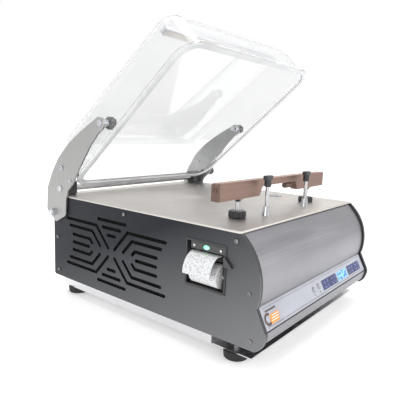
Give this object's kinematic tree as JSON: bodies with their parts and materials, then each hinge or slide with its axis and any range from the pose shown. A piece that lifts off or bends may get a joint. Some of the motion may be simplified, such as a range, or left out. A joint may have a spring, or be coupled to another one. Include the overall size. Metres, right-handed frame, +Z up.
{
  "type": "table-top vacuum packing machine",
  "caption": "Table-top vacuum packing machine with a hinged clear lid, a lifting sealing bar, bag clamps and a label printer in its side panel.",
  "frame": {"origin": "on the resting plane under the feet, at the centre of the machine's width and overall length", "axes": "+Z up, +X to the viewer's right, the control strip faces -Y"},
  "size_m": [0.4759, 0.5363, 0.5332],
  "materials": {
    "cabinet_paint": "satin, fine texture",
    "front_steel": "brushed along X",
    "steel": "brushed",
    "bright_steel": "polished",
    "zinc": "zinc plated",
    "aluminium": "anodised",
    "clear_lid": "clear acrylic, polished",
    "rubber": "matte",
    "silicone": "matte",
    "black_plastic": "fine grain",
    "gloss_black": "gloss",
    "overlay": "satin film",
    "key": "satin",
    "display": "backlit",
    "green_board": "lacquered",
    "copper_anodised": "anodised",
    "tape": "coated glass cloth",
    "cast": "painted casting",
    "paper": "matte",
    "white_plastic": "satin"
  },
  "bodies": {
    "cabinet": {"bar_lift_cylinders": "aluminium", "base_pan": "steel", "cabinet_screws": "zinc", "chamber_plate": "steel", "clamp_springs": "bright_steel", "control_board": "green_board", "control_fascia": "steel", "control_overlay": "overlay", "display_window": "display", "edge_trims": "black_plastic", "front_cover": "front_steel", "hinge_blocks": "black_plastic", "left_side_panel": "cabinet_paint", "lid_springs": "bright_steel", "lower_front_cover": "front_steel", "paper_strip": "paper", "plate_bushes": "black_plastic", "plate_stays": "zinc", "power_board": "green_board", "power_inlet": "gloss_black", "print_head": "zinc", "printer_bezel": "black_plastic", "printer_board": "green_board", "printer_chassis": "black_plastic", "pump_motor": "cast", "rear_panel": "steel", "release_valve": "aluminium", "right_side_panel": "cabinet_paint", "rubber_feet": "rubber", "suction_port": "bright_steel", "transformer": "steel", "vacuum_hose": "rubber", "vacuum_pump": "cast"},
    "lid": {"lid_dome": "clear_lid", "lid_gasket": "rubber", "counter_bar": "aluminium", "silicone_strip": "silicone", "lid_arms": "aluminium", "arm_fasteners": "zinc", "lid_knobs": "black_plastic", "hinge_shaft": "bright_steel"},
    "sealing_bar_unit": {"sealing_bar": "copper_anodised", "heating_element": "tape", "bar_terminals": "black_plastic", "bar_posts": "bright_steel"},
    "left_foot_knob": {"left_bar_knob": "black_plastic"},
    "right_foot_knob": {"right_bar_knob": "black_plastic"},
    "left_clamp": {"left_clamp_rod": "bright_steel"},
    "right_clamp": {"right_clamp_rod": "bright_steel"},
    "left_clamp_top": {"left_clamp_head": "bright_steel"},
    "right_clamp_top": {"right_clamp_head": "bright_steel"},
    "left_key_1": {"key_left_1": "key"},
    "left_key_2": {"key_left_2": "key"},
    "right_key_1": {"key_right_1": "key"},
    "right_key_2": {"key_right_2": "key"},
    "mains_rocker": {"rocker_switch": "gloss_black"},
    "fan": {"motor_fan": "white_plastic"},
    "label_roll": {"paper_roll": "paper"},
    "platen": {"platen_roller": "rubber"},
    "release_lever": {"printer_lever": "black_plastic"}
  },
  "joints": [
    {"name": "lid_hinge", "type": "hinge", "parent": "cabinet", "child": "lid", "pos_m": [0, 0.219, 0.222], "axis": [1, 0, 0], "range_deg": [0, 40.7], "stiffness_Nm_per_rad": 3.6, "springref_deg": -71.62, "deforming": ["lid_springs"]},
    {"name": "bar_lift", "type": "slide", "parent": "cabinet", "child": "sealing_bar_unit", "axis": [0, 0, 1], "range_m": [0, 0.008]},
    {"name": "left_foot_knob_turn", "type": "hinge", "parent": "cabinet", "child": "left_foot_knob", "pos_m": [-0.128, -0.152, 0.213], "axis": [0, 0, 1], "continuous": true},
    {"name": "right_foot_knob_turn", "type": "hinge", "parent": "cabinet", "child": "right_foot_knob", "pos_m": [0.128, -0.152, 0.213], "axis": [0, 0, 1], "continuous": true},
    {"name": "left_clamp_lift", "type": "slide", "parent": "cabinet", "child": "left_clamp", "axis": [0, 0, 1], "range_m": [0, 0.003], "stiffness_N_per_m": 400, "deforming": ["clamp_springs"]},
    {"name": "left_clamp_turn", "type": "hinge", "parent": "left_clamp", "child": "left_clamp_top", "pos_m": [-0.074, -0.176, 0.268], "axis": [0, 0, 1], "continuous": true},
    {"name": "right_clamp_lift", "type": "slide", "parent": "cabinet", "child": "right_clamp", "axis": [0, 0, 1], "range_m": [0, 0.003], "stiffness_N_per_m": 400, "deforming": ["clamp_springs"]},
    {"name": "right_clamp_turn", "type": "hinge", "parent": "right_clamp", "child": "right_clamp_top", "pos_m": [0.074, -0.176, 0.268], "axis": [0, 0, 1], "continuous": true},
    {"name": "left_key_1_press", "type": "slide", "parent": "cabinet", "child": "left_key_1", "axis": [0, 0.89, -0.456], "range_m": [0, 0.0006], "stiffness_N_per_m": 500},
    {"name": "left_key_2_press", "type": "slide", "parent": "cabinet", "child": "left_key_2", "axis": [0, 0.89, -0.456], "range_m": [0, 0.0006], "stiffness_N_per_m": 500},
    {"name": "right_key_1_press", "type": "slide", "parent": "cabinet", "child": "right_key_1", "axis": [0, 0.89, -0.456], "range_m": [0, 0.0006], "stiffness_N_per_m": 500},
    {"name": "right_key_2_press", "type": "slide", "parent": "cabinet", "child": "right_key_2", "axis": [0, 0.89, -0.456], "range_m": [0, 0.0006], "stiffness_N_per_m": 500},
    {"name": "mains_rocker_tilt", "type": "hinge", "parent": "cabinet", "child": "mains_rocker", "pos_m": [0.105, 0.231, 0.068], "axis": [1, 0, 0], "range_deg": [0, 14]},
    {"name": "fan_spin", "type": "hinge", "parent": "cabinet", "child": "fan", "pos_m": [0.122, 0.082, 0.092], "axis": [1, 0, 0], "continuous": true},
    {"name": "label_roll_turn", "type": "hinge", "parent": "cabinet", "child": "label_roll", "pos_m": [-0.203, -0.156, 0.129], "axis": [0, 1, 0], "continuous": true},
    {"name": "platen_turn", "type": "hinge", "parent": "cabinet", "child": "platen", "pos_m": [-0.205, -0.156, 0.157], "axis": [0, 1, 0], "continuous": true},
    {"name": "release_lever_turn", "type": "hinge", "parent": "cabinet", "child": "release_lever", "pos_m": [-0.218, -0.1938, 0.154], "axis": [1, 0, 0], "range_deg": [0, 30]}
  ],
  "couplings": [
    {"joint": "platen_turn", "follows": "label_roll_turn", "ratio": 4.2222}
  ]
}
